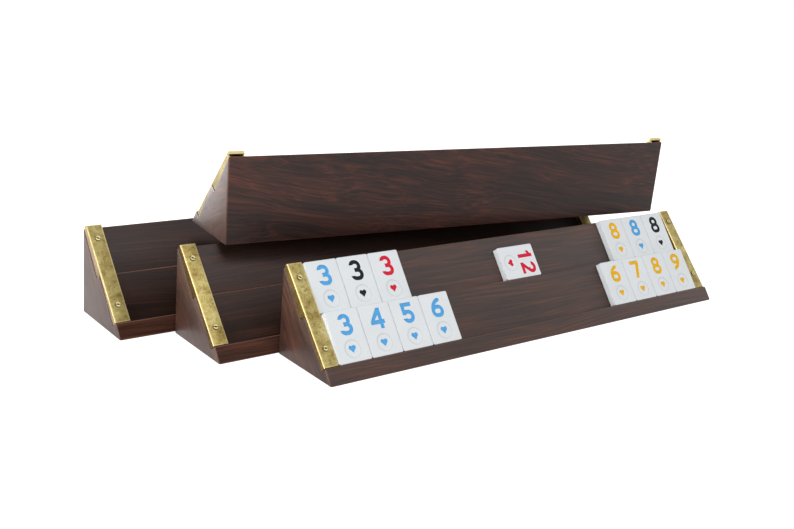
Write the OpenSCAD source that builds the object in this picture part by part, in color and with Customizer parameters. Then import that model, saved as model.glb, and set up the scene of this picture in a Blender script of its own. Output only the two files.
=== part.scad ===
// Set of four two-tier wooden tile racks with brass end channels, and fifteen numbered tiles.
// The origin is the middle of the base of the middle rack. X runs along the racks, -Y is their front.

/* [Rack] */
// Length of each rack
rack_len = 365; // [300:1:420]
// Depth of the base from back to front
rack_depth = 57.2; // [56.8:0.1:60]
// Slope of both ramps from the base
ramp_angle = 52; // [50:0.5:54]
// Height of the outer edge of the front lip
lip_h = 9.2; // [8.8:0.1:10]
// Depth of each ledge, measured square to its ramp
ledge_depth = 5.1; // [4.8:0.1:6]
// Flat cut along the long edges of the wood
edge_cut = 0.7; // [0.3:0.1:1.2]

/* [Brass channel] */
// Width of the channel along the rack
channel_w = 10.5; // [8:0.1:14]
// Thickness of the two flanges
sheet = 1; // [0.6:0.1:1.1]
// Thickness of the face between them
plate_t = 1.2; // [0.8:0.1:1.3]
// Depth of the face's upper end, which is turned down towards the wood
end_turn = 2.4; // [1.2:0.1:2.8]
// How far the flanges start below the face's upper end
flange_back = 1.2; // [0:0.1:2]
// Height of the outer face above the ridge and above the lower ledge's corner
stand = 3.9; // [3.6:0.1:4.4]
// Wood left bare outside each channel
channel_inset = 0.5; // [0:0.1:3]
// Corner cut off each flange where the upper ramp meets its ledge
flange_notch = 1.4; // [0.4:0.1:2]
// Gap between the flange edges and the wood
flange_gap = 0.1; // [0.05:0.05:0.3]

/* [Screws] */
// Diameter of the screw head
head_d = 3.4; // [2.8:0.1:4.5]
// Height of the screw head
head_h = 0.6; // [0.4:0.1:1]
// Diameter of the shank
shank_d = 1.8; // [1.2:0.1:2.4]
// Length of the shank under the head
shank_len = 11; // [9:0.5:14]
// Width of the driver slot
slot_w = 0.55; // [0.4:0.05:0.8]
// Depth of the driver slot
slot_depth = 0.35; // [0.2:0.05:0.4]
// Angle of the first screw's slot
slot_angle = 35; // [0:5:90]
// Turn of the slots from one end to the other
slot_turn = 50; // [0:5:90]
// Distance from the channel's upper end to the upper screw
screw_top = 9.9; // [7:0.5:14]
// Distance from the channel's lower end to the lower screw
screw_low = 12; // [8:0.5:16]
// Clearance of the shank in its holes
shank_clear = 0.1; // [0.05:0.05:0.3]

/* [Tile] */
// Width of a tile
tile_w = 24; // [20:0.5:26]
// Height of a tile
tile_h = 33.5; // [32:0.1:34]
// Thickness of a tile
tile_t = 4.7; // [3.5:0.1:4.8]
// Radius of the four corners of the face
corner_r = 1.8; // [1:0.1:3]
// Radius of the edges round the face
edge_r = 0.6; // [0.3:0.1:1]
// Height of the numerals
digit_h = 13.4; // [11:0.1:14]
// Width of the stroke of the numerals
stroke = 2.6; // [1.8:0.1:2.8]
// Depth of the engraving
engrave = 0.4; // [0.2:0.05:0.6]
// Distance from the tile's top to the top of the numeral
digit_top = 3.1; // [2.5:0.1:4.5]
// Height of the heart's centre above the tile's foot
heart_z = 8.3; // [7:0.1:9.5]
// Width of the heart
heart_w = 5.1; // [3.5:0.1:5.5]
// Diameter of the shallow round stamp behind the heart
stamp_d = 11.2; // [9:0.1:13]
// Depth of the shallow round stamp
stamp_depth = 0.12; // [0.08:0.02:0.2]

/* [Fit] */
// Gap between neighbouring tiles
tile_gap = 0.1; // [0.1:0.05:0.4]
// Room left above the lower tiles before the upper ledge
tile_room = 0.5; // [0.2:0.1:1]
// Gap between a tile and the wood it leans on
seat_gap = 0.08; // [0.05:0.01:0.15]
// Gap between the end tile and the brass
end_gap = 0.15; // [0.1:0.05:1]
// Gap between the upper right row and the brass
upper_gap = 1.3; // [0.1:0.1:3]
// Gap between the top rack and what it lies on
rest_gap = 0.2; // [0.1:0.05:0.3]

/* [Layout] */
// Front rack: shift to the right of the middle rack
front_shift = 40.9; // [20:0.1:60]
// Front rack: gap to the middle rack
front_space = 0.5; // [0.3:0.1:20]
// Rear rack: shift to the right of the middle rack
rear_shift = -35.7; // [-60:0.1:0]
// Rear rack: gap to the middle rack at its right end
rear_space = 0.2; // [0.1:0.1:20]
// Rear rack: turn about the vertical
rear_turn = -0.3; // [-0.3:0.1:0]
// Top rack: turn about the vertical
top_turn = 173.2; // [170:0.1:176]
// Top rack: how far its corner stands past the right end of the middle rack
top_past = 22.5; // [15:0.1:30]
// Top rack: how far its corner lies in front of the front rack's ridge
top_forward = 0.5; // [0:0.1:3]
// Extra tile lying on its side: distance of its left edge from the front rack's left end
loose_x = 168.2; // [125:0.1:220]

/* [Hidden] */
$fn = 48;
sa = sin(ramp_angle);
ca = cos(ramp_angle);
// The lower tiles fill the lower ramp up to the upper ledge
ramp_len = tile_h + tile_room;
// Profile points are [distance in front of the back, height]
lip_pt = [rack_depth - lip_h * ca / sa, lip_h];
low_pt = lip_pt - ledge_depth * [sa, ca];
step_pt = low_pt + ramp_len * [-ca, sa];
mid_pt = step_pt - ledge_depth * [sa, ca];
ridge_pt = [0, mid_pt[1] + mid_pt[0] * sa / ca];
// The channel lies along the line from the ridge to the lower ledge's corner
chan_vec = low_pt - ridge_pt;
chan_len = norm(chan_vec);
chan_tilt = atan2(-chan_vec[1], chan_vec[0]);
along = chan_vec / chan_len;
outward = [sin(chan_tilt), cos(chan_tilt)];
chan_top_z = ridge_pt[1] + stand * outward[1];
upper_tile_z = mid_pt[1] + (tile_h + seat_gap) * sa + (tile_t + seat_gap) * ca;
rest_z = max(chan_top_z, upper_tile_z) + rest_gap;
tile_span = tile_w + tile_gap;
first_x = channel_inset + channel_w + end_gap;
last_x = rack_len - first_x - tile_w;
end_y = -rack_depth / 2;
// Each numeral: its node name, what it shows, its column, its tier and its colour
BLUE = "#3f9ade";
BLACK = "#2b3033";
RED = "#d8334c";
YELLOW = "#f2a91c";
TILES = [
    ["low_l1", 3, 0, 0, BLUE], ["low_l2", 4, 1, 0, BLUE], ["low_l3", 5, 2, 0, BLUE],
    ["low_l4", 6, 3, 0, BLUE],
    ["up_l1", 3, 0, 1, BLUE], ["up_l2", 3, 1, 1, BLACK], ["up_l3", 3, 2, 1, RED],
    ["low_r1", 9, 0, 0, YELLOW], ["low_r2", 8, 1, 0, YELLOW], ["low_r3", 7, 2, 0, YELLOW],
    ["low_r4", 6, 3, 0, YELLOW],
    ["up_r1", 8, 0, 1, BLACK], ["up_r2", 8, 1, 1, BLUE], ["up_r3", 8, 2, 1, YELLOW]
];

// A corner at b, between a and c, cut flat at the given distance
function cut(a, b, c, d) = [
    b + d * (a - b) / norm(a - b),
    b + d * (c - b) / norm(c - b)
];

// Puts children that are drawn as [distance in front of the back, height] along X
module along_rack(length) {
    rotate([90, 0, -90])
        translate([0, 0, -length])
            linear_extrude(length)
                children();
}

// Moves children to the channel's own frame: X along the rack, -Y outward, Z up the channel
module on_channel(distance) {
    p = ridge_pt + distance * along;
    translate([0, -p[0], p[1]])
        rotate([chan_tilt - 90, 0, 0])
            children();
}

module shank_holes(extra) {
    for (x = [channel_inset + channel_w / 2, rack_len - channel_inset - channel_w / 2])
        for (d = [screw_top, chan_len - screw_low])
            on_channel(d)
                translate([x, -stand, 0])
                    rotate([-90, 0, 0])
                        cylinder(d = shank_d + 2 * extra, h = shank_len + extra);
}

// The solid moulding: flat base and back, two ramps, two ledges and a sloping front
module wood() {
    back_low = [0, 0];
    front_low = [rack_depth, 0];
    outline = concat(
        cut(front_low, back_low, ridge_pt, edge_cut),
        cut(back_low, ridge_pt, mid_pt, edge_cut),
        [mid_pt],
        cut(mid_pt, step_pt, low_pt, edge_cut),
        [low_pt],
        cut(low_pt, lip_pt, front_low, edge_cut),
        cut(lip_pt, front_low, back_low, edge_cut)
    );
    color("#3b2a26")
        difference() {
            along_rack(rack_len)
                polygon(outline);
            shank_holes(shank_clear);
        }
}

// The channel that covers one end of both tiers: a face with its upper end turned down, and
// two flanges cut to the wood
module channel() {
    gap = flange_gap * outward;
    under = (stand - plate_t) * outward;
    start = ridge_pt + flange_back * along;
    foot = low_pt + flange_gap * [sa, ca];
    step = step_pt + flange_gap * ([sa, ca] + [-ca, sa]);
    inner = mid_pt + flange_gap * ([sa, ca] + [-ca, sa]);
    flange = [
        start + gap,
        inner + flange_notch * [-ca, sa],
        inner + flange_notch * [sa, ca],
        step,
        foot + flange_gap * [-ca, sa],
        low_pt + stand * outward,
        start + stand * outward
    ];
    turned = (stand - end_turn) * outward;
    face = [
        ridge_pt + turned,
        ridge_pt + turned + sheet * along,
        ridge_pt + under + sheet * along,
        low_pt + under,
        low_pt + stand * outward,
        ridge_pt + stand * outward
    ];
    color("#b8a050")
        difference() {
            union() {
                along_rack(channel_w)
                    polygon(face);
                along_rack(sheet)
                    polygon(flange);
                translate([channel_w - sheet, 0, 0])
                    along_rack(sheet)
                        polygon(flange);
            }
            for (d = [screw_top, chan_len - screw_low])
                on_channel(d)
                    translate([channel_w / 2, -stand - 1, 0])
                        rotate([-90, 0, 0])
                            cylinder(d = shank_d + 2 * shank_clear, h = stand + 1);
        }
}

// One slotted round-head screw, its head resting on the channel's face
module screw(turn) {
    color("#c9b673")
        translate([0, -stand, 0])
            rotate([-90, 0, 0]) {
                difference() {
                    translate([0, 0, -head_h])
                        cylinder(d = head_d, h = head_h);
                    rotate([0, 0, turn])
                        translate([-head_d, -slot_w / 2, -head_h - 1])
                            cube([2 * head_d, slot_w, slot_depth + 1]);
                }
                cylinder(d = shank_d, h = shank_len);
            }
}

// The four screws of one rack, with their slots at different angles
module screws() {
    xs = [channel_inset + channel_w / 2, rack_len - channel_inset - channel_w / 2];
    ds = [screw_top, chan_len - screw_low];
    for (i = [0, 1])
        for (j = [0, 1])
            on_channel(ds[j])
                translate([xs[i], 0, 0])
                    screw(slot_angle + slot_turn * (i - j / 2));
}

// Where each rack stands: children are drawn from the rack's left back corner
module at_middle() {
    translate([-rack_len / 2, rack_depth / 2, 0])
        children();
}
module at_front() {
    translate([front_shift - rack_len / 2, end_y - front_space, 0])
        children();
}
module at_rear() {
    translate([rear_shift - rack_len / 2, rack_depth * 1.5 + rear_space - rack_len * sin(rear_turn), 0])
        rotate([0, 0, rear_turn])
            children();
}
module at_top() {
    translate([rack_len / 2 + top_past, end_y - front_space - top_forward, rest_z])
        rotate([0, 0, top_turn])
            children();
}
module at_right_end() {
    translate([rack_len - channel_inset - channel_w, 0, 0])
        children();
}
module at_left_end() {
    translate([channel_inset, 0, 0])
        children();
}

// Strokes of the numerals, drawn round x = 0 with their feet at y = 0
module pill(w, h) {
    for (x = [-1, 1])
        translate([x * (w - h) / 2, 0])
            circle(d = h);
    square([w - h, h], center = true);
}
module loop(w, h) {
    difference() {
        pill(w, h);
        pill(w - 2 * stroke, h - 2 * stroke);
    }
}
module eight() {
    low = digit_h * 0.6;
    high = digit_h - low + stroke;
    translate([0, low / 2])
        loop(digit_h * 0.72, low);
    translate([0, digit_h - high / 2])
        loop(digit_h * 0.64, high);
}
module three() {
    tip = stroke * 1.22;
    difference() {
        eight();
        translate([-digit_h, tip])
            square([digit_h * 0.92, digit_h - 2 * tip]);
    }
}
module six() {
    low = digit_h * 0.62;
    reach = digit_h * 0.66;
    side = digit_h * 0.36;
    tail = [-0.22, 0.976];
    translate([0, low / 2])
        loop(2 * side, low);
    translate([reach - side, low / 2]) {
        intersection() {
            difference() {
                circle(r = reach);
                circle(r = reach - stroke);
            }
            polygon([[0, 0], [-2 * reach, 0], [-2 * reach, 2 * reach], 2 * reach * tail]);
        }
        translate((reach - stroke / 2) * tail)
            circle(d = stroke);
    }
}
module nine() {
    translate([0, digit_h])
        rotate(180)
            six();
}
module seven() {
    half = digit_h * 0.36;
    foot = digit_h * 0.05;
    slant = digit_h * 0.26;
    polygon([
        [-half, digit_h], [half, digit_h], [half, digit_h - stroke * 0.8], [foot, 0],
        [foot - stroke * 1.15, 0], [half - slant, digit_h - stroke], [-half, digit_h - stroke]
    ]);
}
module four() {
    stem = digit_h * 0.08;
    bar = digit_h * 0.23;
    left = -digit_h * 0.4;
    difference() {
        polygon([
            [stem, digit_h], [stem + stroke, digit_h], [stem + stroke, 0], [stem, 0], [stem, bar],
            [left, bar], [left, bar + stroke * 0.8]
        ]);
        polygon([[stem, bar + stroke], [stem, digit_h - stroke * 1.7], [left + stroke * 1.3, bar + stroke]]);
    }
    translate([0, bar])
        square([stem + stroke * 1.6, stroke]);
}
module five() {
    low = digit_h * 0.64;
    half = digit_h * 0.35;
    stem = digit_h * 0.05 - half;
    difference() {
        translate([0, low / 2])
            loop(2 * half, low);
        translate([-digit_h, stroke * 1.22])
            square([digit_h - half + stroke * 1.04, digit_h]);
    }
    translate([stem, low - stroke * 1.2])
        square([stroke, digit_h - low + stroke * 1.2]);
    translate([stem, digit_h - stroke])
        square([digit_h * 0.62, stroke]);
    translate([stem, low - stroke])
        square([half, stroke]);
}
module twelve() {
    one_x = -digit_h * 0.38;
    flag = stroke * 0.8;
    start = digit_h * 0.08;
    w = digit_h * 0.62;
    high = digit_h * 0.6;
    bend = digit_h - high;
    translate([one_x, 0])
        square([stroke, digit_h]);
    polygon([
        [one_x + stroke, digit_h], [one_x - flag, digit_h - stroke], [one_x - flag, digit_h - 2 * stroke],
        [one_x + stroke, digit_h - stroke]
    ]);
    translate([start + w / 2, digit_h - high / 2])
        difference() {
            loop(w, high);
            translate([-w, -high])
                square([w * 0.98, high * 1.05]);
            translate([-w, -high])
                square([2 * w, high * 0.72]);
        }
    polygon([
        [start, 0], [start + w, 0], [start + w, stroke], [start + stroke * 1.5, stroke],
        [start + w - stroke * 0.17, bend + stroke * 0.74], [start + w - stroke * 1.17, bend + stroke * 0.91],
        [start, stroke * 0.9]
    ]);
}
module heart() {
    r = heart_w * 0.27;
    c = heart_w / 2 - r;
    for (x = [-c, c])
        translate([x, r * 0.6])
            circle(r = r);
    polygon([
        [-c - r * 0.9, r * 0.3], [0, -heart_w / 2], [c + r * 0.9, r * 0.3], [c, r * 1.2], [0, r * 0.9],
        [-c, r * 1.2]
    ]);
}
module figure(n) {
    if (n == 3) three();
    if (n == 4) four();
    if (n == 5) five();
    if (n == 6) six();
    if (n == 7) seven();
    if (n == 8) eight();
    if (n == 9) nine();
    if (n == 12) twelve();
}
module round_rect(w, h, r) {
    for (x = [r, w - r])
        for (y = [r, h - r])
            translate([x, y])
                circle(r = r);
    translate([r, 0])
        square([w - 2 * r, h]);
    translate([0, r])
        square([w, h - 2 * r]);
}

// One tile, its back in the plane y = 0 and its foot at z = 0
module tile_blank() {
    intersection() {
        rotate([90, 0, 0])
            linear_extrude(tile_t)
                round_rect(tile_w, tile_h, corner_r);
        translate([0, -tile_t, 0])
            linear_extrude(tile_h)
                round_rect(tile_w, tile_t, edge_r);
        rotate([90, 0, 90])
            linear_extrude(tile_w)
                translate([-tile_t, 0])
                    round_rect(tile_t, tile_h, edge_r);
    }
}
module tile(n, paint) {
    difference() {
        color("#f1efec")
            tile_blank();
        color("#f1efec")
            translate([tile_w / 2, stamp_depth - tile_t, heart_z])
                rotate([90, 0, 0])
                    cylinder(d = stamp_d, h = 1);
        color(paint)
            translate([tile_w / 2, engrave - tile_t, 0])
                rotate([90, 0, 0])
                    linear_extrude(1) {
                        translate([0, tile_h - digit_top - digit_h])
                            figure(n);
                        translate([0, heart_z])
                            heart();
                    }
    }
}

// Stands children on a ledge of the front rack and leans them on its ramp
module on_tier(tier, x) {
    p = (tier == 0 ? low_pt : mid_pt) + seat_gap * ([sa, ca] + [-ca, sa]);
    at_front()
        translate([x, -p[0], p[1]])
            rotate([ramp_angle - 90, 0, 0])
                children();
}
module seated_tile(name) {
    row = [for (t = TILES) if (t[0] == name) t][0];
    right = name[len(name) - 2] == "r";
    right_x = last_x - (row[3] == 1 ? upper_gap - end_gap : 0);
    x = right ? right_x - row[2] * tile_span : first_x + row[2] * tile_span;
    on_tier(row[3], x)
        tile(row[1], row[4]);
}
// The extra tile lies on its side on the upper ledge
module flat_tile() {
    on_tier(1, loose_x)
        translate([0, 0, tile_w])
            rotate([0, 90, 0])
                tile(12, RED);
}

at_middle() wood();  // wood_middle
at_middle() at_left_end() channel();  // channel_left_middle
at_middle() at_right_end() channel();  // channel_right_middle
at_middle() screws();  // screws_middle
at_front() wood();  // wood_front
at_front() at_left_end() channel();  // channel_left_front
at_front() at_right_end() channel();  // channel_right_front
at_front() screws();  // screws_front
at_rear() wood();  // wood_rear
at_rear() at_left_end() channel();  // channel_left_rear
at_rear() at_right_end() channel();  // channel_right_rear
at_rear() screws();  // screws_rear
at_top() wood();  // wood_top
at_top() at_left_end() channel();  // channel_left_top
at_top() at_right_end() channel();  // channel_right_top
at_top() screws();  // screws_top
seated_tile("low_l1");  // tile_low_l1
seated_tile("low_l2");  // tile_low_l2
seated_tile("low_l3");  // tile_low_l3
seated_tile("low_l4");  // tile_low_l4
seated_tile("up_l1");  // tile_up_l1
seated_tile("up_l2");  // tile_up_l2
seated_tile("up_l3");  // tile_up_l3
seated_tile("low_r1");  // tile_low_r1
seated_tile("low_r2");  // tile_low_r2
seated_tile("low_r3");  // tile_low_r3
seated_tile("low_r4");  // tile_low_r4
seated_tile("up_r1");  // tile_up_r1
seated_tile("up_r2");  // tile_up_r2
seated_tile("up_r3");  // tile_up_r3
flat_tile();  // tile_flat
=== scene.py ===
# %% [markdown]
# A set of wooden tile racks. Three racks stand one behind the other, a fourth lies across
# them, and fifteen white tiles stand on the front one. The CAD frame gives every piece its
# place and its motion. This lesson gives the pieces their looks: stained walnut, aged brass
# and white melamine, lit as in a bright studio.

# %% Load the frame
import bmesh
import bpy
import math
from mathutils import Matrix, Vector


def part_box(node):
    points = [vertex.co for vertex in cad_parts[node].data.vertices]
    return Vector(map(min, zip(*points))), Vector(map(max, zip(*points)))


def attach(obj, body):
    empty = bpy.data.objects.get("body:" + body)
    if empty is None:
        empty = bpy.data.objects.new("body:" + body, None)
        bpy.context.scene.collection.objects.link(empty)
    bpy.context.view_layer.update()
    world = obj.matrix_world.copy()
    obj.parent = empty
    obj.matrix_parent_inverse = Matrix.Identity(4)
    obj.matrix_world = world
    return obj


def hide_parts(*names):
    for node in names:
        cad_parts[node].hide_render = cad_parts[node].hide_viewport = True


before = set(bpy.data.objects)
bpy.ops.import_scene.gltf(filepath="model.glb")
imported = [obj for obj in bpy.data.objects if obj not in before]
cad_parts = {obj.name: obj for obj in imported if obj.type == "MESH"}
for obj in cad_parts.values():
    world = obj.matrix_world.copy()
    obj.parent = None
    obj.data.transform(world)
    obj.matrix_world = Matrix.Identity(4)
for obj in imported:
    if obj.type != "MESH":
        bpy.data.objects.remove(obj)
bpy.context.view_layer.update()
MM = 0.001

# %% [markdown]
# All four racks are cut from one section: a flat base and back, two ramps with a ledge at
# the foot of each, and a sloping lip in front. The section could be read from the CAD mesh,
# but writing it again in real sizes keeps the new pieces exact and easy to follow. A point
# of the section is (distance in front of the back, height).

# %% The section of a rack
RACK_LEN = 365 * MM
RACK_DEPTH = 57.2 * MM
RAMP = math.radians(52)
LIP_H = 9.2 * MM
LEDGE_DEPTH = 5.1 * MM
RAMP_LEN = 34 * MM
square_off = Vector((math.sin(RAMP), math.cos(RAMP)))
up_ramp = Vector((-math.cos(RAMP), math.sin(RAMP)))
lip = Vector((RACK_DEPTH - LIP_H / math.tan(RAMP), LIP_H))
low_corner = lip - LEDGE_DEPTH * square_off
step = low_corner + RAMP_LEN * up_ramp
high_corner = step - LEDGE_DEPTH * square_off
ridge = Vector((0, high_corner.y + high_corner.x * math.tan(RAMP)))


def in_space(point, x=0.0):
    """A point or a direction of the section, in the rack's own axes."""
    return Vector((x, -point.x, point.y))


def in_section(co):
    """The place in the section of a point in the rack's own axes."""
    return Vector((-co.y, co.z))


ramp_facing = in_space(square_off)
ramp_rise = in_space(up_ramp)
print("ridge height mm", round(ridge.y / MM, 2))

# %% [markdown]
# Each rack has a corner, its left end at the back, and a turn about the vertical. One matrix
# holds both. Each new piece is built in the rack's own axes and then moved by the matrix,
# which is simpler than working out turned corners by hand.

# %% Where the racks stand
FRONT_SHIFT = 40.9 * MM
FRONT_SPACE = 0.5 * MM
REAR_SHIFT = -35.7 * MM
REAR_SPACE = 0.2 * MM
REAR_TURN = math.radians(-0.3)
TOP_TURN = math.radians(173.2)
TOP_PAST = 22.5 * MM
TOP_FORWARD = 0.5 * MM
half_len = RACK_LEN / 2
front_back_y = -RACK_DEPTH / 2 - FRONT_SPACE
rear_back_y = RACK_DEPTH * 1.5 + REAR_SPACE - RACK_LEN * math.sin(REAR_TURN)
top_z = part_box("wood_top")[0][2]


def standing(x, y, z, turn):
    return Matrix.Translation((x, y, z)) @ Matrix.Rotation(turn, 4, "Z")


RACKS = {
    "middle": standing(-half_len, RACK_DEPTH / 2, 0, 0),
    "front": standing(FRONT_SHIFT - half_len, front_back_y, 0, 0),
    "rear": standing(REAR_SHIFT - half_len, rear_back_y, 0, REAR_TURN),
    "top": standing(half_len + TOP_PAST, front_back_y - TOP_FORWARD, top_z, TOP_TURN),
}
print("racks", ", ".join(RACKS), "- the top one rests at mm", round(top_z / MM, 1))

# %% [markdown]
# A finish is a tree of nodes. Adding and joining them one by one makes long scripts, so a
# small kit does it: each method adds one node and returns its output. Every finish below
# then reads as a short recipe.

# %% A kit for node materials


class Recipe:
    """A node material that is built up step by step."""

    def __init__(self, name):
        self.mat = bpy.data.materials.new(name)
        self.mat.use_nodes = True
        self.nodes = self.mat.node_tree.nodes
        self.links = self.mat.node_tree.links
        self.shader = self.nodes["Principled BSDF"]

    def put(self, socket, value):
        if isinstance(value, bpy.types.NodeSocket):
            self.links.new(value, socket)
        elif value is not None:
            socket.default_value = value

    def set(self, **values):
        for key, value in values.items():
            self.put(self.shader.inputs[key.replace("_", " ")], value)

    def node(self, kind, inputs=None, **settings):
        made = self.nodes.new(kind)
        for key, value in settings.items():
            setattr(made, key, value)
        for key, value in (inputs or {}).items():
            self.put(made.inputs[key], value)
        return made

    def math(self, operation, a, b=None, c=None):
        made = self.node("ShaderNodeMath", operation=operation)
        for socket, value in zip(made.inputs, (a, b, c)):
            self.put(socket, value)
        return made.outputs[0]

    def plus(self, a, b):
        return self.math("ADD", a, b)

    def minus(self, a, b):
        return self.math("SUBTRACT", a, b)

    def times(self, a, b):
        return self.math("MULTIPLY", a, b)

    def blend_of(self, *parts):
        """The sum of several values, each with its own share."""
        total = None
        for value, share in parts:
            part = self.times(value, share)
            total = part if total is None else self.plus(total, part)
        return total

    def distance(self, x, y):
        return self.math("SQRT", self.plus(self.times(x, x), self.times(y, y)))

    def place(self, turn=(0, 0, 0), move=(0, 0, 0), scale=(1, 1, 1), vector=None):
        if vector is None:
            vector = self.node("ShaderNodeTexCoord").outputs["Object"]
        made = self.node("ShaderNodeMapping", {"Vector": vector})
        made.inputs["Location"].default_value = move
        made.inputs["Rotation"].default_value = turn
        made.inputs["Scale"].default_value = scale
        return made.outputs[0]

    def split(self, vector):
        return self.node("ShaderNodeSeparateXYZ", {"Vector": vector}).outputs

    def join(self, x, y, z):
        return self.node("ShaderNodeCombineXYZ", {"X": x, "Y": y, "Z": z}).outputs[0]

    def uv(self, layer):
        """The two coordinates of one of the piece's own UV maps."""
        parts = self.split(self.node("ShaderNodeUVMap", uv_map=layer).outputs[0])
        return parts["X"], parts["Y"]

    def noise(self, vector, scale, detail=3, rough=0.55, warp=0.0):
        made = self.node("ShaderNodeTexNoise", {
            "Vector": vector, "Scale": scale, "Detail": detail, "Roughness": rough,
            "Distortion": warp,
        })
        return made.outputs["Fac"]

    def ramp(self, factor, stops):
        made = self.node("ShaderNodeValToRGB", {"Fac": factor})
        while len(made.color_ramp.elements) < len(stops):
            made.color_ramp.elements.new(0.5)
        for element, (position, tint) in zip(made.color_ramp.elements, stops):
            element.position = position
            element.color = tint
        return made.outputs[0]

    def spread(self, factor, low, high, to_low=0.0, to_high=1.0):
        made = self.node("ShaderNodeMapRange", {
            "Value": factor, "From Min": low, "From Max": high,
            "To Min": to_low, "To Max": to_high,
        })
        return made.outputs["Result"]

    def mix(self, factor, a, b):
        made = self.node("ShaderNodeMix", data_type="RGBA")
        self.put(made.inputs["Factor"], factor)
        self.put(made.inputs["A"], a)
        self.put(made.inputs["B"], b)
        return made.outputs["Result"]

    def bump(self, height, distance, strength):
        made = self.node("ShaderNodeBump", {
            "Height": height, "Distance": distance, "Strength": strength,
        })
        return made.outputs[0]


print("kit ready, one node for each step")

# %% [markdown]
# Colours are judged on a screen, from 0 to 255, while a shader works in linear light. The
# helper converts one colour, and a second one converts a whole table of tones.

# %% Colours as they look on a screen


def colour(red, green, blue):
    def linear(v):
        v = v / 255
        return v / 12.92 if v < 0.04045 else ((v + 0.055) / 1.055) ** 2.4
    return (linear(red), linear(green), linear(blue), 1)


def stains(tones):
    return [(at, colour(*tint)) for at, tint in tones]


print("mid grey in linear light", round(colour(128, 128, 128)[0], 3))

# %% [markdown]
# The wood is a plain hardwood stained dark walnut. A stain takes unevenly: the top rack is
# reddish, the front one is browner, and worn edges are lightest. The two racks behind are
# painted nearly black, as shade from the racks around them. Each table gives tones from the
# darkest line of the grain to the palest.

# %% Tones of the stain
WALNUT = [
    (0.38, (38, 27, 24)), (0.49, (53, 36, 31)), (0.58, (72, 45, 36)), (0.72, (104, 60, 46)),
]
RED_WALNUT = [
    (0.38, (33, 24, 22)), (0.49, (47, 32, 29)), (0.58, (69, 41, 34)), (0.70, (104, 56, 43)),
]
# Painted shade: the middle and rear racks get these darker tones for the shade of the racks
# around them.
SHADED_DEEP = [
    (0.36, (32, 21, 17)), (0.50, (43, 27, 21)), (0.60, (58, 34, 26)), (0.76, (84, 46, 34)),
]
SHADED_DEEPEST = [
    (0.36, (26, 17, 14)), (0.50, (36, 23, 18)), (0.60, (48, 29, 22)), (0.76, (74, 41, 31)),
]
END_GRAIN = [
    (0.38, (42, 26, 20)), (0.49, (60, 37, 28)), (0.58, (80, 49, 37)), (0.70, (114, 71, 52)),
]
WARM_LIP = [
    (0.38, (41, 26, 19)), (0.49, (57, 35, 26)), (0.58, (74, 44, 33)), (0.72, (102, 59, 43)),
]
RUBBED = [
    (0.36, (64, 38, 29)), (0.50, (82, 48, 36)), (0.60, (98, 57, 42)), (0.76, (124, 74, 54)),
]
PORE_TINT = colour(24, 16, 14)
TONES = {"middle": SHADED_DEEP, "front": WALNUT, "rear": SHADED_DEEPEST, "top": RED_WALNUT}
LIP_TONES = {"middle": WARM_LIP, "front": WALNUT, "rear": WARM_LIP, "top": RED_WALNUT}
print("front rack from", WALNUT[0][1], "to", WALNUT[-1][1])

# %% [markdown]
# Grain could be painted as flat stripes, but then the faces would not agree at the edges.
# Here it is a solid pattern, as in real timber: noise drawn out along the length. A slow
# noise sways it, which gives the long arches. Each rack is cut from another place of the
# pattern, and the slope tells how far its grain runs off the straight. On the ends the
# pattern is turned, so that shorter streaks follow the ramp.

# %% The run of the grain
CUTS = {"middle": (0.3, 0.021, -0.012), "front": (1.7, 0.034, -0.03),
        "rear": (2.9, 0.015, 0.02), "top": (4.4, 0.028, -0.05)}
SLOPES = {"middle": 0.012, "front": 0.01, "rear": -0.015, "top": 0.15}
SWAYS = {"middle": 0.35, "front": 0.3, "rear": 0.4, "top": 1.0}
PLAN_LEAN = 0.02
END_SHORTER = 3
DRIFT = (6, 16, 16)
DRIFT_REACH = 30 * MM
WANDER = (14, 40, 40)
WANDER_REACH = 5 * MM


def grain_space(r, place, cut_at, slope, sway, on_end):
    """The place in the rack's own axes, and the same place in the swaying grain."""
    flat = r.place(move=tuple(-c for c in place.translation))
    own = r.place(turn=(0, 0, -place.to_euler().z), vector=flat)
    if on_end:
        tipped = r.split(r.place(turn=(-RAMP, 0, 0), vector=own))
        own = r.join(r.times(tipped["Y"], END_SHORTER), tipped["Z"], tipped["X"])
    leaned = r.place(turn=(0, slope, PLAN_LEAN), move=cut_at, vector=own)
    drift = r.noise(r.place(scale=DRIFT, vector=leaned), 1.0, 2, 0.5)
    wander = r.noise(r.place(scale=WANDER, vector=leaned), 1.0, 2, 0.5)
    lift = r.plus(r.times(r.minus(drift, 0.5), DRIFT_REACH * sway),
                  r.times(r.minus(wander, 0.5), WANDER_REACH * sway))
    parts = r.split(leaned)
    bent = r.join(parts["X"], r.plus(parts["Y"], lift), r.plus(parts["Z"], lift))
    return flat, bent


print("steepest grain, degrees", round(math.degrees(max(SLOPES.values())), 1))

# %% [markdown]
# The finish lays five noises over each other: broad bands, fine lines, cloudy patches,
# hair-fine fibre and open pores. Over it lies a thin satin lacquer, shinier towards the
# ridge, which is handled more. The ends have taken up more lacquer, so they carry a haze.

# %% Stained walnut
BANDS = {"scale": (6, 400, 400), "detail": 3, "rough": 0.62}
LINES = {"scale": (12, 860, 860), "detail": 3, "rough": 0.6}
PATCHES = {"scale": (11, 60, 60), "detail": 2, "rough": 0.5}
FIBRES = {"scale": (60, 2400, 2400), "detail": 2, "rough": 0.6}
PORES = {"scale": (110, 2800, 2800), "detail": 2, "rough": 0.5}
POLISH_FROM = 14 * MM
POLISH_TO = 44 * MM
GRAIN_DEPTH = 0.1 * MM


def long_noise(r, space, scale, detail, rough):
    return r.noise(r.place(scale=scale, vector=space), 1.0, detail, rough)


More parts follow.
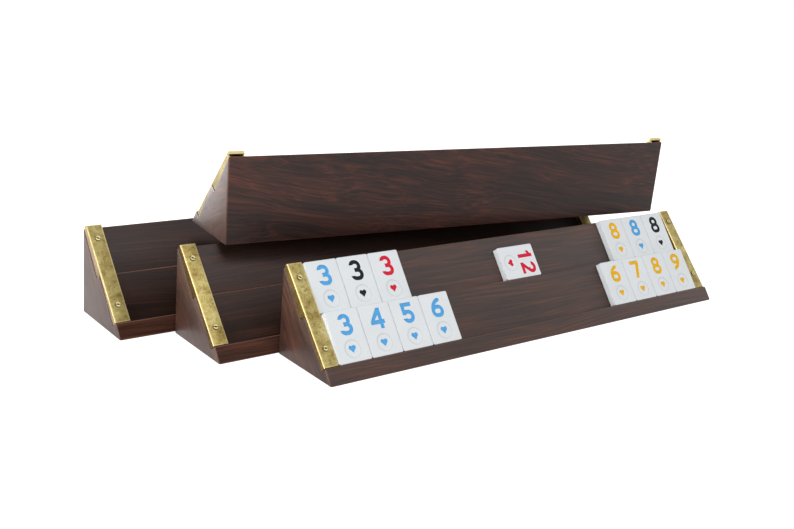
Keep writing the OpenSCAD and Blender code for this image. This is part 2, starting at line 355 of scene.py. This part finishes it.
def walnut(name, place, cut_at, slope, sway, tones, gloss, haze=0.0, on_end=False):
    r = Recipe(name)
    flat, bent = grain_space(r, place, cut_at, slope, sway, on_end)
    bands = long_noise(r, bent, **BANDS)
    lines = long_noise(r, bent, **LINES)
    patch = long_noise(r, bent, **PATCHES)
    fibre = long_noise(r, bent, **FIBRES)
    pore = r.spread(long_noise(r, bent, **PORES), 0.60, 0.72)
    tone = r.blend_of((bands, 0.30), (lines, 0.46), (patch, 0.30), (r.minus(fibre, 0.5), 0.16))
    r.set(Base_Color=r.mix(r.times(pore, 0.4), r.ramp(tone, tones), PORE_TINT))
    r.set(Roughness=r.spread(fibre, 0.3, 0.7, 0.40, 0.50), IOR=1.5)
    low, high = gloss
    r.set(Specular_IOR_Level=r.spread(
        r.split(flat)["Z"], POLISH_FROM, POLISH_TO, low + 0.3 * haze, high + 0.3 * haze))
    r.set(Coat_Weight=0.28 * low + 0.8 * haze, Coat_Roughness=0.24 + 0.1 * haze,
          Coat_IOR=1.5 + 0.2 * haze)
    r.set(Normal=r.bump(r.blend_of((fibre, 0.6), (pore, -0.7)), GRAIN_DEPTH, 0.45))
    return r.mat


print("a band of the grain, about mm", round(1 / BANDS["scale"][1] / MM, 1))

# %% [markdown]
# A bmesh holds a mesh while operators shape it. This helper moves it to its place, turns its
# faces outwards, keeps folds sharp and rounds smooth, and makes it an object at the origin.

# %% From a bmesh to an object


def mesh_object(name, bm, place=None, smooth_angle=30):
    if place is not None:
        bmesh.ops.transform(bm, matrix=place, verts=bm.verts)
    bmesh.ops.recalc_face_normals(bm, faces=bm.faces)
    sharpest = math.radians(smooth_angle)
    for edge in bm.edges:
        edge.smooth = len(edge.link_faces) == 2 and edge.calc_face_angle(0) < sharpest
    for face in bm.faces:
        face.smooth = True
    mesh = bpy.data.meshes.new(name)
    bm.to_mesh(mesh)
    bm.free()
    made = bpy.data.objects.new(name, mesh)
    bpy.context.scene.collection.objects.link(made)
    return made


def prism(bm, outline, x_from, x_to):
    """A length of a section: one face, drawn out along the rack."""
    near = [bm.verts.new(in_space(point, x_from)) for point in outline]
    grown = bmesh.ops.extrude_face_region(bm, geom=[bm.faces.new(near)])
    far = [v for v in grown["geom"] if isinstance(v, bmesh.types.BMVert)]
    bmesh.ops.translate(bm, vec=(x_to - x_from, 0, 0), verts=far)
    return near + far


print("helpers ready: mesh_object, prism")

# %% [markdown]
# A wooden moulding is one length of the section. A cube could be cut to it, but drawing the
# section as a face and extruding it follows how a spindle moulder works. Its outer edges are
# then eased with a small round, which catches the light along ridge, step and lip. The toe
# is worn back a little.

# %% Build the mouldings
EASE = 0.8 * MM
TOE_WEAR = 0.16 * MM
OUTER_EDGE = math.radians(10)


def moulding(name, place):
    bm = bmesh.new()
    toe = Vector((RACK_DEPTH - TOE_WEAR, 0))
    prism(bm, [Vector((0, 0)), toe, lip, low_corner, step, high_corner, ridge], 0, RACK_LEN)
    bmesh.ops.recalc_face_normals(bm, faces=bm.faces)
    outer = [e for e in bm.edges if e.calc_face_angle_signed(0) > OUTER_EDGE]
    bmesh.ops.bevel(bm, geom=outer, offset=EASE, offset_type="OFFSET", affect="EDGES",
                    segments=3, profile=0.5, material=-1, clamp_overlap=True)
    return mesh_object(name, bm, place, 60)


mouldings = {key: moulding("moulding_" + key, place) for key, place in RACKS.items()}
for piece in mouldings.values():
    print(piece.name, "faces", len(piece.data.polygons))

# %% [markdown]
# Each moulding wears four finishes. The facing of a face picks one: ends, rubbed rounds, the
# lip in front, and the rest. Picking by facing needs no list of face numbers, so it still
# holds when a size changes.

# %% Stain the mouldings
GLOSS = {"middle": (0.10, 0.40), "front": (0.42, 0.50), "rear": (0.03, 0.30), "top": (0.36, 0.36)}
END_HAZE = {"middle": 0.8, "front": 0.45, "rear": 0.63, "top": 0.72}
END_GLOSS = (0.38, 0.38)
RUBBED_GLOSS = (0.42, 0.42)
FACING = 0.9
EXACTLY_FACING = 0.999
main_ways = [Vector((1, 0, 0)), Vector((0, 1, 0)), Vector((0, 0, 1)), ramp_facing, ramp_rise]
for key, place in RACKS.items():
    piece = mouldings[key]
    cut = (place, CUTS[key], SLOPES[key], SWAYS[key])
    finishes = [
        walnut("walnut_" + key, *cut, stains(TONES[key]), GLOSS[key]),
        walnut("walnut_end_" + key, *cut, stains(END_GRAIN), END_GLOSS, END_HAZE[key], True),
        walnut("walnut_rubbed_" + key, *cut, stains(RUBBED), RUBBED_GLOSS),
        walnut("walnut_lip_" + key, *cut, stains(LIP_TONES[key]), GLOSS[key]),
    ]
    for finish in finishes:
        piece.data.materials.append(finish)
    ways = [place.to_3x3() @ way for way in main_ways]
    for face in piece.data.polygons:
        if abs(face.normal.dot(ways[0])) > FACING:
            face.material_index = 1
        elif max(abs(face.normal.dot(way)) for way in ways) < EXACTLY_FACING:
            face.material_index = 2
        elif face.normal.dot(ways[3]) > FACING and face.center.z - place.translation.z < LIP_H:
            face.material_index = 3
    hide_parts("wood_" + key)
    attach(piece, key + "_rack")
    print(piece.name, "finishes", len(piece.data.materials))

# %% [markdown]
# A brass channel caps each end of a rack. It has a thin face, whose upper end is turned
# down, and a flange down each side, cut to the steps of the wood. These are its real sizes.

# %% Sizes of the brass channels
CHANNEL_W = 10.5 * MM
SHEET = 1.0 * MM
PLATE_T = 1.2 * MM
END_TURN = 2.4 * MM
FLANGE_NOTCH = 1.4 * MM
STAND = 3.9 * MM
INSET = 0.5 * MM
FLANGE_GAP = 0.1 * MM
FLANGE_BACK = 1.2 * MM
FOLD = 0.55 * MM
chan_vec = low_corner - ridge
chan_len = chan_vec.length
chan_along = chan_vec.normalized()
chan_out = Vector((-chan_along.y, chan_along.x))
CHANNEL_SIDES = {"left": INSET, "right": RACK_LEN - INSET - CHANNEL_W}
print("channel length mm", round(chan_len / MM, 2))

# %% [markdown]
# Old brass is mottled brown and green gold, and bright where hands rub it. The flanges are
# duller than the face. Their tones are painted paler on the rear and top racks, whose left ends
# stand in full light, and browner on the middle and front racks, whose ends lie in the shade of
# the racks behind. The face is made a little lighter on the middle rack and darker on the rear
# one. The places of the screws are given here too, because dirt gathers round their heads.

# %% Tones of the brass
FACE_TONES = [
    (0.32, (112, 90, 50)), (0.43, (154, 135, 80)), (0.55, (184, 169, 110)),
    (0.68, (212, 200, 146)),
]
FACE_LIGHT = {"middle": 1.1, "front": 1.0, "rear": 0.91, "top": 1.0}
# Painted light and shade: paler flanges for the lit ends of the rear and top racks, browner ones
# for the shaded ends of the middle and front racks.
LIT_PALE_SIDE = [(0.34, (146, 126, 102)), (0.48, (178, 158, 132)), (0.66, (206, 188, 162))]
LIT_BEIGE_SIDE = [(0.34, (138, 122, 86)), (0.48, (170, 154, 112)), (0.66, (202, 187, 144))]
SHADED_GOLD_SIDE = [(0.34, (104, 82, 42)), (0.48, (136, 110, 58)), (0.66, (172, 146, 88))]
SHADED_BROWN_SIDE = [(0.34, (76, 54, 32)), (0.48, (106, 78, 44)), (0.66, (146, 116, 70))]
SIDE_TONES = {"middle": SHADED_BROWN_SIDE, "front": SHADED_GOLD_SIDE, "rear": LIT_PALE_SIDE, "top": LIT_BEIGE_SIDE}
SPOT_TINT = colour(92, 78, 42)
WORN_TINT = colour(230, 212, 154)
GRIME_TINT = colour(84, 62, 32)
SCREW_TOP = 9.9 * MM
SCREW_LOW = 12 * MM
HEAD_R = 1.7 * MM
GRIME_RIM = 0.5 * MM
screw_spots = (SCREW_TOP, chan_len - SCREW_LOW)
print("screws down the channel mm", [round(spot / MM, 1) for spot in screw_spots])

# %% [markdown]
# The mottling is solid noise. The wear follows a UV map that runs across and along the
# channel, from 0 to 1, so it keeps to the folds and the ends whichever way the rack lies.

# %% Aged brass
CLOUDS = {"scale": 105, "detail": 5, "rough": 0.7}
FINE = {"scale": 1300, "detail": 3, "rough": 0.65}
SPOTS = {"scale": 520, "detail": 3, "rough": 0.6, "warp": 0.8}
MOTTLE_DEPTH = 0.25 * MM


def rubbed_edges(r, across, down, fine):
    """How far the folds and the ends are rubbed bright, with a ragged border."""
    rub = r.times(r.minus(fine, 0.5), 0.05)
    from_middle = r.math("ABSOLUTE", r.minus(across, 0.5))
    from_centre = r.math("ABSOLUTE", r.minus(down, 0.5))
    worn = r.spread(r.plus(from_middle, rub), 0.39, 0.45)
    ends = r.spread(r.plus(from_centre, r.times(rub, 0.4)), 0.484, 0.497)
    return r.math("MAXIMUM", worn, ends)


def aged_brass(name, tones, rough_low, rough_high, rubbed):
    r = Recipe(name)
    where = r.place()
    cloud = r.noise(where, **CLOUDS)
    fine = r.noise(where, **FINE)
    tone = r.blend_of((cloud, 0.7), (fine, 0.3))
    spots = r.spread(r.noise(where, **SPOTS), 0.55, 0.70, 0.0, 0.6)
    metal = r.mix(spots, r.ramp(tone, tones), SPOT_TINT)
    across, down = r.uv("sheet")
    metal = r.mix(r.times(rubbed_edges(r, across, down, fine), rubbed), metal, WORN_TINT)
    beside = r.times(r.minus(across, 0.5), CHANNEL_W)
    for spot in screw_spots:
        away = r.distance(beside, r.math("MULTIPLY_ADD", down, chan_len, -spot))
        grime = r.spread(away, HEAD_R, HEAD_R + GRIME_RIM, 0.8, 0.0)
        metal = r.mix(grime, metal, GRIME_TINT)
    r.set(Base_Color=metal, Metallic=1.0)
    r.set(Roughness=r.spread(tone, 0.3, 0.75, rough_high, rough_low))
    r.set(Normal=r.bump(tone, MOTTLE_DEPTH, 0.4))
    return r.mat


print("clouds in the brass mm", round(1 / CLOUDS["scale"] / MM, 1))

# %% [markdown]
# A channel could be folded from one strip. It is simpler as lengths of four outlines: the
# face, its turned end and two flanges. The outer edges of the face get a small round, as a
# fold has, which draws a bright line down each side.

# %% The shape of a channel


def channel(name, place, x0):
    bm = bmesh.new()
    under = (STAND - PLATE_T) * chan_out
    turned = (STAND - END_TURN) * chan_out
    top = STAND * chan_out
    thick = SHEET * chan_along
    x1 = x0 + CHANNEL_W
    plate = prism(bm, [
        ridge + under, ridge + under + thick, low_corner + under, low_corner + top, ridge + top,
    ], x0, x1)
    bmesh.ops.recalc_face_normals(bm, faces=bm.faces)
    outward = in_space(chan_out)
    outer = [e for e in bm.edges if all(
        (v.co - plate[0].co).dot(outward) > PLATE_T * 0.9 for v in e.verts)]
    bmesh.ops.bevel(bm, geom=outer, offset=FOLD, offset_type="OFFSET", affect="EDGES",
                    segments=4, profile=0.5, material=-1)
    prism(bm, [ridge + turned, ridge + turned + thick, ridge + under + thick, ridge + under],
          x0, x1)
    start = ridge + FLANGE_BACK * chan_along
    off, rise = FLANGE_GAP * square_off, FLANGE_GAP * up_ramp
    flange = [
        start + FLANGE_GAP * chan_out,
        high_corner + off + rise + FLANGE_NOTCH * up_ramp,
        high_corner + off + rise + FLANGE_NOTCH * square_off,
        step + off + rise, low_corner + off + rise, low_corner + under, start + under,
    ]
    for x in (x0, x1 - SHEET):
        prism(bm, flange, x, x + SHEET)
    uv = bm.loops.layers.uv.new("sheet")
    for face in bm.faces:
        for loop in face.loops:
            down = (in_section(loop.vert.co) - ridge).dot(chan_along) / chan_len
            loop[uv].uv = ((loop.vert.co.x - x0) / CHANNEL_W, down)
    return mesh_object(name, bm, place, 40)


print("turned end mm", round(END_TURN / MM, 1), "round mm", round(FOLD / MM, 2))

# %% [markdown]
# Both channels of a rack share two finishes: one for the face and one for the flanges, which
# are the faces that look along the rack.

# %% Build the channels
FLANGE_FACING = 0.95
for key, place in RACKS.items():
    face_tones = [(at, tuple(FACE_LIGHT[key] * c for c in tint)) for at, tint in FACE_TONES]
    brass = aged_brass("aged_brass_" + key, stains(face_tones),
                       rough_low=0.34, rough_high=0.52, rubbed=0.6)
    side_brass = aged_brass("aged_brass_side_painted_light_" + key, stains(SIDE_TONES[key]),
                            rough_low=0.4, rough_high=0.55, rubbed=0.08)
    along_rack = place.to_3x3() @ Vector((1, 0, 0))
    for side, x0 in CHANNEL_SIDES.items():
        piece = channel("brass_" + side + "_" + key, place, x0)
        piece.data.materials.append(brass)
        piece.data.materials.append(side_brass)
        for face in piece.data.polygons:
            if abs(face.normal.dot(along_rack)) > FLANGE_FACING:
                face.material_index = 1
        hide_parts("channel_" + side + "_" + key)
        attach(piece, key + "_rack")
    print("channels", key, "faces", len(piece.data.polygons))

# %% [markdown]
# Two slotted screws hold each channel. Their shape in the CAD model is already right, so a
# copy is dressed. The frame's meshes are loose triangles: the copy is merged first, and only
# then can its edges be told sharp from smooth.

# %% Copy a CAD piece
MERGE_DIST = 0.002 * MM
COPY_SMOOTH = 35


def merged_copy(node, name):
    bm = bmesh.new()
    bm.from_mesh(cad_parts[node].data)
    bmesh.ops.remove_doubles(bm, verts=bm.verts, dist=MERGE_DIST)
    return mesh_object(name, bm, None, COPY_SMOOTH)


print("corners closer than mm", MERGE_DIST / MM, "are one")

# %% [markdown]
# A head is rubbed bright on a ring and dark at the rim, where old polish stays. Its middle is
# painted dark, as the shade of its slot. A UV map measures from the middle of the head in head
# radii, so the ring needs no texture image. The floor of the slot is painted near black, as
# shade.

# %% Finishes of the screws


def screw_head_brass():
    r = Recipe("screw_head_brass")
    cloud = r.noise(r.place(), 900, 3, 0.6)
    metal = r.ramp(cloud, [(0.3, colour(206, 190, 130)), (0.7, colour(244, 232, 178))])
    away = r.distance(*r.uv("head"))
    # Painted shade: the middle of the head is darkened where its slot lies.
    metal = r.mix(r.spread(away, 0.30, 0.48, 0.85, 0.0), metal, colour(92, 70, 40))
    metal = r.mix(r.spread(away, 0.86, 1.0, 0.0, 0.7), metal, colour(104, 80, 44))
    r.set(Base_Color=metal, Metallic=1.0, Roughness=0.36)
    return r.mat


def slot_painted_shade():
    r = Recipe("slot_painted_shade")
    cloud = r.noise(r.place(), 1500, 2)
    # Painted shade: the slot's floor is near black, as the shade inside the slot.
    dirt = r.ramp(cloud, [(0.3, colour(26, 20, 12)), (0.7, colour(48, 38, 22))])
    r.set(Base_Color=dirt, Roughness=0.8)
    return r.mat


screw_finishes = [screw_head_brass(), slot_painted_shade()]
print("screw finishes", [finish.name for finish in screw_finishes])

# %% [markdown]
# Each set holds four screws, two in each channel. A face belongs to the left or the right
# channel and to its upper or lower screw, and that screw's middle is where its UV map starts.

# %% Dress the screws
HEAD_H = 0.6 * MM
SLOT_DEPTH = 0.35 * MM
FLOOR_REACH = 0.1 * MM
slot_floor = ridge.dot(chan_out) + STAND + HEAD_H - SLOT_DEPTH
for key, place in RACKS.items():
    piece = merged_copy("screws_" + key, "screw_set_" + key)
    for finish in screw_finishes:
        piece.data.materials.append(finish)
    home = place.inverted()
    corners = [home @ v.co for v in piece.data.vertices]
    head = piece.data.uv_layers.new(name="head")
    for face in piece.data.polygons:
        spot = home @ face.center
        if abs(in_section(spot).dot(chan_out) - slot_floor) < FLOOR_REACH:
            face.material_index = 1
        middle_x = CHANNEL_SIDES["left" if spot.x < half_len else "right"] + CHANNEL_W / 2
        upper = (in_section(spot) - ridge).dot(chan_along) < chan_len / 2
        middle_down = screw_spots[0] if upper else screw_spots[1]
        for loop in face.loop_indices:
            at = corners[piece.data.loops[loop].vertex_index]
            down = (in_section(at) - ridge).dot(chan_along) - middle_down
            head.data[loop].uv = ((at.x - middle_x) / HEAD_R, down / HEAD_R)
    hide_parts("screws_" + key)
    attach(piece, key + "_rack")
    print(piece.name, "faces", len(piece.data.polygons))

# %% [markdown]
# The tiles are white melamine, a little shiny, with a numeral and a heart cut in and painted.
# The heart stands in a round stamp, only 0.12 mm deep. So shallow a step hardly shows, so the
# melamine also gets a soft bump and a faint grey line of painted shade at the stamp's edge,
# measured from its middle with a UV map. The wall of the stamp and the rounded rim of each
# tile are painted grey too, as shade.

# %% Melamine, paint and painted shade
PAINTS = {
    "blue": colour(98, 186, 246), "black": colour(28, 34, 38),
    "red": colour(236, 40, 70), "yellow": colour(255, 202, 24),
}
STAMP_DIP = 0.3 * MM
PAINT_GRAIN = 0.1 * MM
DARKER = 0.82


def melamine():
    r = Recipe("melamine")
    shade = r.ramp(r.noise(r.place(), 60, 3, 0.5), [
        (0.3, colour(234, 239, 241)), (0.7, colour(239, 243, 246))])
    away = r.distance(*r.uv("stamp"))
    # Painted shade: a faint grey line along the edge of the stamp.
    rim = r.spread(r.math("ABSOLUTE", r.minus(away, 0.99)), 0.02, 0.12, 0.2, 0.0)
    r.set(Base_Color=r.mix(rim, shade, colour(180, 184, 190)), Roughness=0.27, IOR=1.5)
    r.set(Normal=r.bump(r.spread(away, 0.86, 1.02), STAMP_DIP, 0.8))
    return r.mat


def paint(name, tint):
    r = Recipe("paint_" + name)
    cloud = r.noise(r.place(), 700, 3, 0.6)
    darker = tuple(c * DARKER for c in tint[:3]) + (1,)
    r.set(Base_Color=r.ramp(cloud, [(0.3, darker), (0.7, tint)]), Roughness=0.5,
          Specular_IOR_Level=0.15)
    r.set(Normal=r.bump(cloud, PAINT_GRAIN, 0.3))
    return r.mat


# Painted shade: a grey finish for thin lines of shade on the tiles.
def painted_shade_finish(name, darker, lighter):
    r = Recipe(name)
    shade = r.ramp(r.noise(r.place(), 500), [(0.3, darker), (0.7, lighter)])
    r.set(Base_Color=shade, Roughness=0.5)
    return r.mat


white = melamine()
# Painted shade: the wall of the stamp is grey.
stamp_wall_shade = painted_shade_finish("stamp_wall_shade", colour(140, 144, 148), colour(164, 168, 172))
# Painted shade: the rounded rim of each tile is a little grey, as the shade between tiles.
tile_round_shade = painted_shade_finish("tile_round_shade", colour(214, 218, 221), colour(226, 230, 233))
paints = {name: paint(name, tint) for name, tint in PAINTS.items()}
print("paints", ", ".join(paints))

# %% [markdown]
# The numerals are already cut into the solids, so the tiles are merged copies too. The paint
# could be a second mesh laid in the grooves. Picking the faces that lie deeper than the stamp
# does the same with nothing extra. The loose tile lies on its side, with its foot to the left.

# %% Build the tiles
PAINT_DEPTH = 0.2 * MM
ENGRAVED = 0.45 * MM
STAMP_REACH = 0.15 * MM
STAMP_UP = 8.3 * MM
STAMP_R = 5.6 * MM
ROUND_R = 0.6 * MM
FLAT = 0.9
TRULY_FLAT = 0.97
UPRIGHT = 0.2
TILES = {
    "low_l1": "blue", "low_l2": "blue", "low_l3": "blue", "low_l4": "blue",
    "up_l1": "blue", "up_l2": "black", "up_l3": "red",
    "low_r1": "yellow", "low_r2": "yellow", "low_r3": "yellow", "low_r4": "yellow",
    "up_r1": "black", "up_r2": "blue", "up_r3": "yellow", "flat": "red",
}


def map_stamp(piece, lying):
    """A UV map that measures from the middle of the stamp, in stamp radii."""
    corners = [(v.co.x, v.co.dot(ramp_rise)) for v in piece.data.vertices]
    spans = [(min(values), max(values)) for values in zip(*corners)]
    centre = [sum(span) / 2 for span in spans]
    foot_way = 0 if lying else 1
    centre[foot_way] = spans[foot_way][0] + STAMP_UP
    layer = piece.data.uv_layers.new(name="stamp")
    for corner in piece.data.loops:
        spot = corners[corner.vertex_index]
        layer.data[corner.index].uv = [(spot[way] - centre[way]) / STAMP_R for way in (0, 1)]


def paint_grooves(piece):
    """Finish 0 is melamine, 1 paint, 2 the wall of the stamp, 3 the rounded rim; 2 and 3 are grey
    painted shade.
    """
    reach = [v.co.dot(ramp_facing) for v in piece.data.vertices]
    top = max(reach)
    half_way = 0.5 * (top - min(reach))
    for face in piece.data.polygons:
        depth = top - face.center.dot(ramp_facing)
        facing = face.normal.dot(ramp_facing)
        deepest = max(top - reach[v] for v in face.vertices)
        groove_floor = facing > FLAT and PAINT_DEPTH < depth < half_way
        wall = abs(facing) < UPRIGHT and depth < ENGRAVED
        if groove_floor or (wall and STAMP_REACH < deepest < ENGRAVED):
            face.material_index = 1
        elif wall and deepest < STAMP_REACH:
            face.material_index = 2
        elif UPRIGHT < facing < TRULY_FLAT and depth < ROUND_R:
            face.material_index = 3


for key, tint in TILES.items():
    piece = merged_copy("tile_" + key, "numbered_" + key)
    for finish in (white, paints[tint], stamp_wall_shade, tile_round_shade):
        piece.data.materials.append(finish)
    map_stamp(piece, lying=key == "flat")
    paint_grooves(piece)
    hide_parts("tile_" + key)
    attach(piece, "piece_" + key)
    painted = sum(face.material_index == 1 for face in piece.data.polygons)
    print(piece.name, tint, "painted faces", painted)

# %% [markdown]
# The racks stand on a plain white floor in a soft white studio. A floor bright enough to
# look white by lamplight would also light the object too strongly. So the floor glows for
# the camera alone, and its plain finish still takes the object's shadow.

# %% Floor
FLOOR_HALF = 6
FLOOR_DROP = 0.2 * MM
FLOOR_GLOW = 0.8
bm = bmesh.new()
bmesh.ops.create_grid(bm, x_segments=1, y_segments=1, size=FLOOR_HALF)
bmesh.ops.translate(bm, vec=(0, 0, -FLOOR_DROP), verts=bm.verts)
floor = mesh_object("floor", bm)
r = Recipe("floor_white")
r.set(Base_Color=colour(236, 236, 236), Roughness=0.9, Specular_IOR_Level=0.0)
path = r.node("ShaderNodeLightPath")
glow = r.node("ShaderNodeEmission", {
    "Color": (1, 1, 1, 1), "Strength": r.times(path.outputs["Is Camera Ray"], FLOOR_GLOW)})
both = r.node("ShaderNodeAddShader")
r.links.new(r.shader.outputs[0], both.inputs[0])
r.links.new(glow.outputs[0], both.inputs[1])
r.links.new(both.outputs[0], r.nodes["Material Output"].inputs["Surface"])
floor.data.materials.append(r.mat)
print("floor reaches m", max(v.co.x for v in floor.data.vertices), "glow", FLOOR_GLOW)

# %% [markdown]
# The world is white where the camera or a mirror sees it, and less than half as bright as a
# light, so that pale tiles keep their shading.

# %% World
WORLD_LIGHT = 0.45
WORLD_SEEN = 1.0
world = bpy.data.worlds.new("studio")
bpy.context.scene.world = world
world.use_nodes = True
tree = world.node_tree
ground = tree.nodes["Background"]
ground.inputs["Color"].default_value = (1, 1, 1, 1)
rays = tree.nodes.new("ShaderNodeLightPath")
seen = tree.nodes.new("ShaderNodeMath")
seen.operation = "MAXIMUM"
tree.links.new(rays.outputs["Is Camera Ray"], seen.inputs[0])
tree.links.new(rays.outputs["Is Glossy Ray"], seen.inputs[1])
level = tree.nodes.new("ShaderNodeMapRange")
level.inputs["To Min"].default_value = WORLD_LIGHT
level.inputs["To Max"].default_value = WORLD_SEEN
tree.links.new(seen.outputs[0], level.inputs["Value"])
tree.links.new(level.outputs[0], ground.inputs["Strength"])
print("world light", WORLD_LIGHT, "seen", WORLD_SEEN)

# %% [markdown]
# Three large soft lamps: the key from above on the left, one low on the left that brightens
# the ends of the racks, and one from behind that draws the ridges.

# %% Lamps
AIM = Vector((0, 0, 0.04))


def soft_lamp(name, spot, size, power):
    data = bpy.data.lights.new(name, "AREA")
    data.shape = "DISK"
    data.size = size
    data.energy = power
    lamp = bpy.data.objects.new(name, data)
    lamp.location = spot
    lamp.rotation_euler = (AIM - Vector(spot)).to_track_quat("-Z", "Y").to_euler()
    bpy.context.scene.collection.objects.link(lamp)
    print(name, "lamp, watts", power)


soft_lamp("key", (-0.75, -0.9, 1.9), size=0.9, power=17)
soft_lamp("side", (-1.6, -0.1, 0.3), size=0.9, power=12)
soft_lamp("rim", (-0.75, 1.9, 0.3), size=1.0, power=26)

# %% [markdown]
# The camera stands to the left and in front, a little above, and is held slightly turned.
# Its place and its focal length were fitted to the corners of the racks in the photograph.
# The sensor's width is the usual one, so the lens follows from the focal length in pixels.

# %% Camera
IMAGE_W = 794
SENSOR_W = 36
FOCAL_PX = 1056.8
YAW = math.radians(39.802)
PITCH = math.radians(-17.323)
ROLL = math.radians(5.252)
EYE = Vector((-0.4767, -0.5375, 0.25321))
NEAREST = 0.01
ahead = Vector((
    math.sin(YAW) * math.cos(PITCH), math.cos(YAW) * math.cos(PITCH), math.sin(PITCH)))
level_right = Vector((math.cos(YAW), -math.sin(YAW), 0))
level_up = level_right.cross(ahead)
right = level_right * math.cos(ROLL) + level_up * math.sin(ROLL)
up = level_up * math.cos(ROLL) - level_right * math.sin(ROLL)
turned = Matrix((right, up, -ahead)).transposed().to_4x4()
camera_data = bpy.data.cameras.new("camera")
camera_data.sensor_fit = "HORIZONTAL"
camera_data.sensor_width = SENSOR_W
camera_data.lens = FOCAL_PX / IMAGE_W * SENSOR_W
camera_data.clip_start = NEAREST
camera = bpy.data.objects.new("camera", camera_data)
camera.matrix_world = Matrix.Translation(EYE) @ turned
bpy.context.scene.collection.objects.link(camera)
bpy.context.scene.camera = camera
bpy.context.scene.view_settings.view_transform = "Standard"
print("lens mm", round(camera_data.lens, 2))
